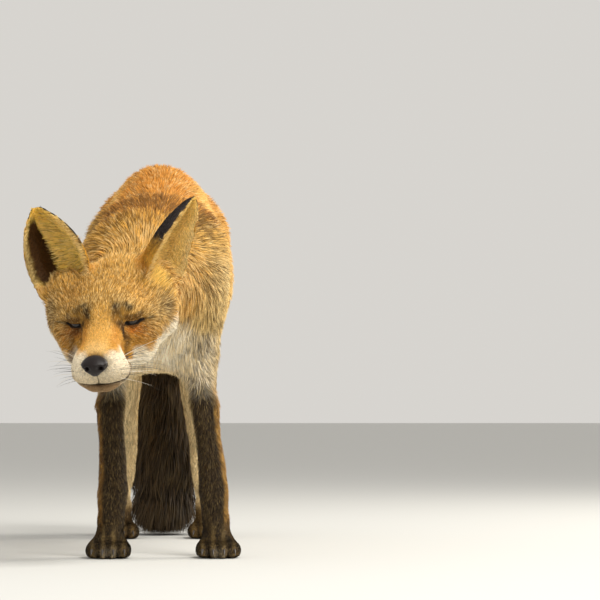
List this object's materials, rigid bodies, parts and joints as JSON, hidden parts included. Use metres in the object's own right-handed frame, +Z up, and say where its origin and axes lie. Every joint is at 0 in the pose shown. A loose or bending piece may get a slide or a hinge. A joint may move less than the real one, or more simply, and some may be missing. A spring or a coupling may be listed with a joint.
{
  "type": "red fox",
  "caption": "Life-size red fox, a still museum model: standing with its head lowered, eyes half shut, back arched and brush hanging to the floor.",
  "frame": {"origin": "middle of the bounding box on the floor, under the belly", "axes": "+Z up, -Y the way the fox faces, +X to the fox's own left"},
  "size_m": [0.2144, 0.8014, 0.4234],
  "materials": {
    "rust": "coat of orange and grey-buff fur",
    "cream": "white and cream fur",
    "sock": "short dark fur of the lower legs and paws",
    "brush": "long dark brown fur",
    "ear": "short golden fur, cream and dark inside, black behind",
    "nose": "moist, pebbled",
    "eye": "dark and wet"
  },
  "bodies": {
    "root": {"head": "rust", "neck": "rust", "chest": "rust", "loin_and_rump": "rust", "upper_foreleg_left": "rust", "upper_foreleg_right": "rust", "thigh_left": "rust", "thigh_right": "rust", "shank_left": "rust", "shank_right": "rust", "lower_jaw": "cream", "lower_foreleg_left": "sock", "lower_foreleg_right": "sock", "forepaw_left": "sock", "forepaw_right": "sock", "hind_foot_left": "sock", "hind_foot_right": "sock", "hindpaw_left": "sock", "hindpaw_right": "sock", "tail_upper": "brush", "tail_lower": "brush", "ear_left": "ear", "ear_right": "ear", "nose": "nose", "eye_left": "eye", "eye_right": "eye"}
  },
  "joints": []
}
